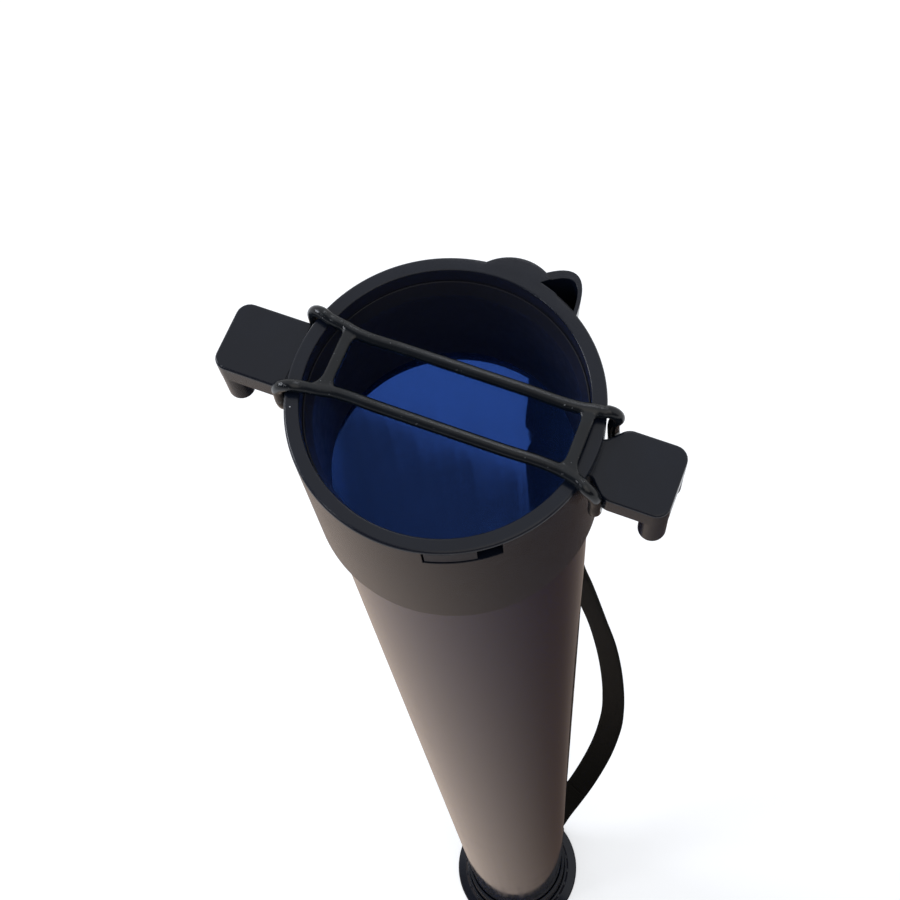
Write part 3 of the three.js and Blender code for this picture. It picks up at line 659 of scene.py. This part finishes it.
def makeTube():
    s = fit
    low = s["baseHeight"] + s["ringDepth"] + s["gap"]
    high = s["mouthHeight"] - s["ringDepth"] - s["gap"]
    bm = turnedRing([
        (s["tubeOuter"], low, s["endRound"]), (s["tubeOuter"], high, s["endRound"]),
        (s["tubeInner"], high, s["endRound"]), (s["tubeInner"], low, s["endRound"]),
    ], s["tubeSteps"])
    dressPiece(looseShape(bm), "tubeShell", tubePolycarbonate, "barrel", "tube")


makeTube()
print("tube made")

band = {
    "radius": 1.7, "strandHalf": 8.7, "shift": 1.3, "legReach": 1.9, "legHalf": 11.6, "legTuck": 1,
    "legDraw": 1.2, "crossInset": 4.4, "crossShift": 2, "crossWidth": 3.2, "crossThickness": 2.4,
    "crossRound": 0.7, "fillet": 4, "corner": 1.8, "sides": 5, "steps": 10, "voxel": 0.3, "blend": 7,
}


def bandArm(cross, leg, half):  # from the middle of a strand, over the rim and down to below the ear's neck
    b, s = band, fit
    top = s["mouthHeight"]
    level = top + s["gap"] + b["radius"]
    rim = leg - b["legReach"] - s["rimRound"]
    under = top - ear["drop"] - ear["height"] - s["gap"] - b["radius"]
    bight = s["skirtOuter"] + s["gap"] + b["radius"]
    return [Vector(p) for p in (
        (0, b["strandHalf"], level),
        (cross * 0.5, b["strandHalf"], level),
        (cross - b["crossWidth"], b["strandHalf"], level),
        (cross + b["crossWidth"] / 2, b["strandHalf"] + b["radius"] / 2, level),
        ((cross + rim) / 2 + b["radius"] / 2, (b["strandHalf"] + half) / 2, level),
        (rim, half - b["radius"] / 4, level),
        (leg - b["radius"] / 4, half, top - s["gap"]),
        (leg, half, top - ear["drop"]),
        (leg, half, under + 2 * b["radius"] + s["gap"]),
        (leg, half - b["radius"] / 3, under + b["radius"]),
        (leg, half - b["radius"], under),
        (bight, ear["neckHalf"], under),
        (bight, ear["neckHalf"] / 2, under),
    )]


def bandWire():  # one closed wire: both strands and the loops under the ears
    b = band
    leg = fit["skirtOuter"] + b["legReach"]
    reach = fit["mouth"] - b["crossInset"]
    front, back = reach + b["shift"] + b["crossShift"], reach - b["shift"] - b["crossShift"]
    farRight = bandArm(front, leg, b["legHalf"] - b["legTuck"])
    for i, share in ((7, 1), (8, 1), (9, 0.7), (10, 0.4)):  # this leg is drawn in towards the rim
        farRight[i].x -= share * b["legDraw"]
    nearRight = [Vector((p.x, -p.y, p.z)) for p in bandArm(front, leg + b["shift"], b["legHalf"])]
    left = bandArm(back, leg - b["shift"], b["legHalf"])
    nearLeft = [Vector((-p.x, -p.y, p.z)) for p in left]
    farLeft = [Vector((-p.x, p.y, p.z)) for p in left]
    ring = farRight + nearRight[::-1] + nearLeft[1:] + farLeft[:0:-1]
    return [p * mm for p in ring], front, back


def bentCorner(start, control, end, steps=8):  # points of a fillet between two straight edges
    points = []
    for i in range(steps + 1):
        t = i / steps
        points.append(tuple(a * (1 - t) ** 2 + 2 * c * t * (1 - t) + e * t * t
                            for a, c, e in zip(start, control, end)) + (0,))
    return points


def crossBar(middle, nearFillet, farFillet, level):
    b = band
    inner, outer = middle - b["crossWidth"] / 2, middle + b["crossWidth"] / 2
    strand, arm = b["strandHalf"], (b["strandHalf"] + b["legHalf"]) / 2
    turn = strand - b["radius"] / 2
    corners = [
        *bentCorner((outer, strand - farFillet), (outer, turn), (outer + farFillet, arm)),
        *bentCorner((inner - b["fillet"], strand), (inner, turn), (inner, strand - b["fillet"])),
        *bentCorner((inner, b["fillet"] - strand), (inner, -turn), (inner - b["fillet"], -strand)),
        *bentCorner((outer + nearFillet, -arm), (outer, -turn), (outer, nearFillet - strand)),
    ]
    low, high = level - b["crossThickness"] / 2, level + b["crossThickness"] / 2
    bar = raisedOutline(corners, low, high)
    roundEdges(bar, rimEdges(bar, high), b["crossRound"])
    roundEdges(bar, rimEdges(bar, low), b["crossRound"])
    return bar


def makeBand():
    b = band
    points, front, back = bandWire()
    data = bpy.data.curves.new("bandWire", "CURVE")
    data.dimensions = "3D"
    spline = data.splines.new("BEZIER")
    spline.bezier_points.add(len(points) - 1)
    for knot, point in zip(spline.bezier_points, points):
        knot.co = point
        knot.handle_left_type = knot.handle_right_type = "AUTO"
    spline.use_cyclic_u = True
    data.bevel_depth = b["radius"] * mm
    data.bevel_resolution = b["sides"]
    data.resolution_u = b["steps"]
    wire = bpy.data.objects.new("bandWire", data)
    bpy.context.scene.collection.objects.link(wire)
    bpy.context.view_layer.update()
    graph = bpy.context.evaluated_depsgraph_get()
    mesh = bpy.data.meshes.new_from_object(wire.evaluated_get(graph))
    bpy.data.objects.remove(wire)
    piece = bpy.data.objects.new("retainingBand", mesh)
    bpy.context.scene.collection.objects.link(piece)
    level = fit["mouthHeight"] + fit["gap"] + b["radius"]
    bars = addTo(crossBar(front, b["fillet"], b["corner"], level),
                 turnTo(crossBar(back, b["corner"], b["fillet"], level), pi))
    combine(piece, bars, "UNION")
    moulded = piece.modifiers.new("moulded", "REMESH")  # one skin, in which bars and strands blend
    moulded.mode = "VOXEL"
    moulded.voxel_size = b["voxel"] * mm
    settle(piece)
    blend = piece.modifiers.new("blend", "SMOOTH")
    blend.factor = 0.5
    blend.iterations = b["blend"]
    settle(piece)
    dressPiece(piece, "retainingBand", bandRubber, "barrel", "retaining_band", 0)


makeBand()
print("band made")

cap = {
    "foot": 1, "floor": 2.6, "gap": 0.4, "wall": 2.4, "height": 19, "flange": 8.7, "flangeHeight": 4,
    "slope": 6, "round": 0.8, "flangeRound": 1.2, "slopeRound": 2.4, "floorRound": 0.4,
    "grips": 24, "grip": 1.7, "gripHeight": 8.4, "gripTurn": 0.13,
    "lugs": 4, "lugReach": 2, "lugHeight": 3.5, "lugWidth": 5, "lugDrop": 8.6, "lugTurn": radians(25),
    "slotGap": 0.4, "footInset": 1.5, "footWidth": 5.5, "footSeat": 1.7, "drain": 2.6, "drains": 6,
    "drainCircle": 0.55, "hangerGap": 2,
    "hair": (0.03, 0.1, 0.001),  # radius, height and angle by which a slot's way in keeps off its walls
}


def makeBaseFitting():
    c, s = cap, fit
    level = lambda depth: s["baseHeight"] + depth
    piece = looseShape(fittingShell(level))
    addHanger(piece, level, c["height"] + c["foot"] + c["hangerGap"] - s["baseHeight"])
    combine(piece, clipWindows(level), "DIFFERENCE")
    depth = c["lugReach"] + c["slotGap"] - c["gap"]
    half = c["lugWidth"] / 2 / s["skirtOuter"]
    spare = c["slotGap"] / s["skirtOuter"]
    top = s["baseHeight"] + c["lugDrop"] + c["lugHeight"] / 2 + c["slotGap"]
    low = s["baseHeight"] + c["lugDrop"] - c["lugHeight"] / 2 - c["slotGap"]
    inner, outer = s["skirtOuter"] - depth, s["skirtOuter"] + over
    deeper, lower, narrower = c["hair"]
    for i in range(c["lugs"]):
        angle = i * 2 * pi / c["lugs"]
        combine(piece, wedge(inner - deeper, outer, s["baseHeight"] - over, top - lower,
                             angle - c["lugTurn"], half + spare - narrower), "DIFFERENCE")
        combine(piece, wedge(inner, outer, low, top,
                             angle - c["lugTurn"] / 2, c["lugTurn"] / 2 + half + spare), "DIFFERENCE")
    dressPiece(piece, "baseFitting", blackAbs, "barrel", "base_fitting")


def makeEndCap():
    c, s = cap, fit
    inner = s["skirtOuter"] + c["gap"]
    outer = inner + c["wall"]
    flange = outer + c["flange"]
    top = c["foot"] + c["height"]
    floor = c["foot"] + c["floor"]
    flangeTop = c["foot"] + c["flangeHeight"]
    piece = looseShape(turnedRing([
        (0, c["foot"], 0), (flange, c["foot"], c["round"]), (flange, flangeTop, c["flangeRound"]),
        (outer, flangeTop + c["slope"], c["slopeRound"]), (outer, top, c["round"]),
        (inner, top, c["round"]), (inner, floor, c["floorRound"]), (0, floor, 0),
    ]))
    far = flange - c["footInset"] + s["gap"]
    near = flange - c["footInset"] - c["footWidth"] - s["gap"]
    low, high = c["foot"] - over, c["foot"] + c["footSeat"] + s["gap"]
    groove = turnedRing([(far, low, 0), (far, high, 0), (near, high, 0), (near, low, 0)])
    combine(piece, groove, "DIFFERENCE")
    grips = bmesh.new()
    low, high = top - c["round"] - c["gripHeight"], top - c["round"]
    for i in range(c["grips"]):
        angle = i * 2 * pi / c["grips"]
        grip = turnedRing([(0, low, 0), (c["grip"], low, 0.5), (c["grip"], high, 0.6), (0, high, 0)], 24)
        spot = Vector((outer * cos(angle), outer * sin(angle), 0)) * mm
        bmesh.ops.translate(turnTo(grip, angle + c["gripTurn"]), verts=grip.verts[:], vec=spot)
        addTo(grips, grip)
    combine(piece, grips, "UNION")
    combine(piece, roundBlock(inner, floor, top + over), "DIFFERENCE")
    circle = s["throat"] * c["drainCircle"]
    spots = [Vector((circle * cos(turn), circle * sin(turn), 0)) * mm
             for turn in (i * 2 * pi / c["drains"] for i in range(c["drains"]))]
    holes = bmesh.new()
    for spot in spots + [Vector()]:  # a ring of holes and one in the middle
        hole = roundBlock(c["drain"], 0, floor + over, 32)
        bmesh.ops.translate(hole, verts=hole.verts[:], vec=spot)
        addTo(holes, hole)
    combine(piece, holes, "DIFFERENCE")
    depth = c["lugReach"] + c["slotGap"] - c["gap"]
    middle = s["baseHeight"] + c["lugDrop"]
    lugs = bmesh.new()
    for i in range(c["lugs"]):
        addTo(lugs, wedge(s["skirtOuter"] - depth + c["slotGap"], inner + c["wall"] / 2,
                          middle - c["lugHeight"] / 2, middle + c["lugHeight"] / 2,
                          i * 2 * pi / c["lugs"], c["lugWidth"] / 2 / s["skirtOuter"]))
    combine(piece, lugs, "UNION")
    dressPiece(piece, "endCap", blackAbs, "cap", "end_cap")


def makeFootRing():
    c, s = cap, fit
    outer = s["skirtOuter"] + c["gap"] + c["wall"] + c["flange"] - c["footInset"]
    inner, top = outer - c["footWidth"], c["foot"] + c["footSeat"]
    bm = turnedRing([(outer, 0, 0.3), (outer, top, 0), (inner, top, 0), (inner, 0, 0.3)])
    dressPiece(looseShape(bm), "footRing", footRubber, "cap", "foot_ring")


makeBaseFitting()
makeEndCap()
makeFootRing()
print("base made")

sliderSizes = {
    "angle": radians(67.1), "height": 920.15, "plane": 45, "bar": 3, "slot": 7.7, "thickness": 2,
    "side": 2.4, "inside": 10.3, "round": 0.5, "slotRound": 0.6,
}


def makeSlider():
    c = sliderSizes
    half = c["inside"] + c["side"]
    reach = c["bar"] / 2 + c["slot"] + c["bar"]
    low, high = -c["thickness"] / 2, c["thickness"] / 2
    bm = raisedOutline([(-half, -reach, c["side"]), (half, -reach, c["side"]), (half, reach, c["side"]),
                        (-half, reach, c["side"])], low, high)
    roundEdges(bm, rimEdges(bm, low) + rimEdges(bm, high), c["round"])
    piece = looseShape(bm)
    for side in (1, -1):
        near, far = sorted((side * c["bar"] / 2, side * (c["bar"] / 2 + c["slot"])))
        across, corner = c["inside"], c["slotRound"]
        slot = raisedOutline([(-across, near, corner), (across, near, corner), (across, far, corner),
                              (-across, far, corner)], low - over, high + over)
        combine(piece, slot, "DIFFERENCE")
    stand = Matrix(((0, 0, 1), (1, 0, 0), (0, 1, 0))).to_4x4()
    turn = Matrix.Rotation(c["angle"], 4, "Z")
    piece.data.transform(turn @ Matrix.Translation(Vector((c["plane"], 0, c["height"])) * mm) @ stand)
    dressPiece(piece, "strapSlider", sliderAcetal, "barrel", "strap_slider")
    return piece


strapSlider = makeSlider()
print("slider made")

studio = {
    "floorSize": 8, "floorColour": "#e9e9e9", "floorGlow": 0.45,
    "worldColour": "#e6ecf5", "worldLight": 0.55, "lampsAim": (0, 0, 0.8),
    "lamps": [  # name, place, size, power and colour
        ("window", (-2.1, -0.35, 2.05), 0.8, 24, "#f2f6ff"),
        ("ceiling", (0.9, -1.0, 3.4), 2.4, 22, "#fffaf2"),
        ("skylight", (-0.42, 1.55, 2.81), 0.35, 3.2, "#f4f7ff"),
        ("sidelight", (-1.19, -1.0, 2.59), 0.25, 5, "#f4f7ff"),
    ],
    # in metres: a glowing disc cut off at the back, pale brown on the left and darkest at one share of the
    # turn, seen only in gloss and through the tube: painted reflections on the tube and fittings, and
    # painted shade on the blue seen through the tube's wall
    "paintedReflectionCard": {
        "reach": 0.65, "back": 0.365, "height": 0.001,
        "pale": "#c4b4a8", "dark": "#50443f", "darkest": 0.58,
    },
    "darkReflectionDome": {"reach": 6, "front": -0.3, "low": 1.2, "colour": "#6b6560"},  # in metres: a glowing dome that only the gloss shows, painting dark reflections of the room's front
}


def seenWhite(tree):  # 1 for what the camera sees, directly, in a gloss or through the tube
    path = addNode(tree, "ShaderNodeLightPath")
    first = addNode(tree, "ShaderNodeMath", {
        0: path.outputs["Is Camera Ray"], 1: path.outputs["Is Glossy Ray"],
    }, operation="MAXIMUM")
    return addNode(tree, "ShaderNodeMath", {
        0: first.outputs[0], 1: path.outputs["Is Transmission Ray"],
    }, operation="MAXIMUM").outputs[0]


def addStage(name, bm, material, unseen=()):
    thing = looseShape(bm)
    thing.name = name
    thing.data.materials.append(material)
    for kind in unseen:
        setattr(thing, "visible_" + kind, False)


def makeFloor(settings):
    bm = bmesh.new()
    bmesh.ops.create_grid(bm, x_segments=4, y_segments=4, size=settings["floorSize"] / 2)
    material, tree = newMaterial("paleFloor")
    grey = addNode(tree, "ShaderNodeBsdfDiffuse", {"Color": linearColour(settings["floorColour"])})
    glow = addNode(tree, "ShaderNodeEmission", {"Strength": settings["floorGlow"]})
    both = addNode(tree, "ShaderNodeAddShader", {0: grey.outputs[0], 1: glow.outputs[0]})
    mix = addNode(tree, "ShaderNodeMixShader", {0: seenWhite(tree), 1: grey.outputs[0], 2: both.outputs[0]})
    useShader(tree, mix.outputs[0])
    addStage("floor", bm, material)


def makePaintedReflectionCard(card):  # a glowing cut disc on the floor, which only the gloss and the tube show: painted brown reflections, and painted shade on the blue seen through the tube
    bm = bmesh.new()
    bmesh.ops.create_circle(bm, cap_ends=True, segments=96, radius=card["reach"],
                            matrix=Matrix.Translation((0, 0, card["height"])))
    bmesh.ops.bisect_plane(bm, geom=bm.verts[:] + bm.edges[:] + bm.faces[:], plane_co=(0, card["back"], 0),
                           plane_no=(0, 1, 0), clear_outer=True)
    material, tree = newMaterial("paintedReflectionCard")
    place = addNode(tree, "ShaderNodeTexCoord").outputs["Object"]
    share = addNode(tree, "ShaderNodeTexGradient", {"Vector": place}, gradient_type="RADIAL")
    # the ramp's darkest share paints the darkest reflections and the darkest shade seen through the tube
    ramp = addNode(tree, "ShaderNodeValToRGB", {"Fac": share.outputs["Fac"]})
    ramp.color_ramp.interpolation = "EASE"
    for end in ramp.color_ramp.elements:
        end.color = linearColour(card["pale"])
    ramp.color_ramp.elements.new(card["darkest"]).color = linearColour(card["dark"])
    useShader(tree, addNode(tree, "ShaderNodeEmission", {"Color": ramp.outputs["Color"]}).outputs[0])
    addStage("paintedReflectionCard", bm, material, ("camera", "diffuse", "volume_scatter", "shadow"))


def makeDarkReflectionDome(room):  # a glowing part of a sphere on the room's front side, which only the gloss shows: painted dark reflections
    bm = bmesh.new()
    bmesh.ops.create_uvsphere(bm, u_segments=48, v_segments=24, radius=room["reach"])
    away = [v for v in bm.verts if v.co.z < room["low"] or v.co.y > room["front"]]
    bmesh.ops.delete(bm, geom=away, context="VERTS")
    material, tree = newMaterial("darkReflectionDome")
    # the glow is a painted reflection of a dim room, not a lamp
    glow = addNode(tree, "ShaderNodeEmission", {"Color": linearColour(room["colour"])})
    useShader(tree, glow.outputs[0])
    addStage("darkReflectionDome", bm, material, ("camera", "diffuse", "transmission", "volume_scatter", "shadow"))


def makeWorld(settings):
    world = bpy.data.worlds.new("paleRoom")
    world.use_nodes = True
    tree = world.node_tree
    tree.nodes.clear()
    room = addNode(tree, "ShaderNodeBackground", {
        "Color": linearColour(settings["worldColour"]), "Strength": settings["worldLight"],
    })
    seen = addNode(tree, "ShaderNodeBackground", {"Color": (1, 1, 1, 1), "Strength": 1})
    mix = addNode(tree, "ShaderNodeMixShader", {0: seenWhite(tree), 1: room.outputs[0], 2: seen.outputs[0]})
    addNode(tree, "ShaderNodeOutputWorld", {"Surface": mix.outputs[0]})
    bpy.context.scene.world = world


def makeLamps(settings):
    for name, place, size, power, colour in settings["lamps"]:
        data = bpy.data.lights.new(name, "AREA")
        data.size = size
        data.energy = power
        data.color = linearColour(colour)[:3]
        lamp = bpy.data.objects.new(name, data)
        lamp.location = place
        aim = Vector(settings["lampsAim"]) - Vector(place)
        lamp.rotation_euler = aim.to_track_quat("-Z", "Y").to_euler()
        bpy.context.scene.collection.objects.link(lamp)


makeFloor(studio)
makePaintedReflectionCard(studio["paintedReflectionCard"])
makeDarkReflectionDome(studio["darkReflectionDome"])
makeWorld(studio)
makeLamps(studio)
bpy.context.scene.view_settings.view_transform = "Standard"
print("studio made")
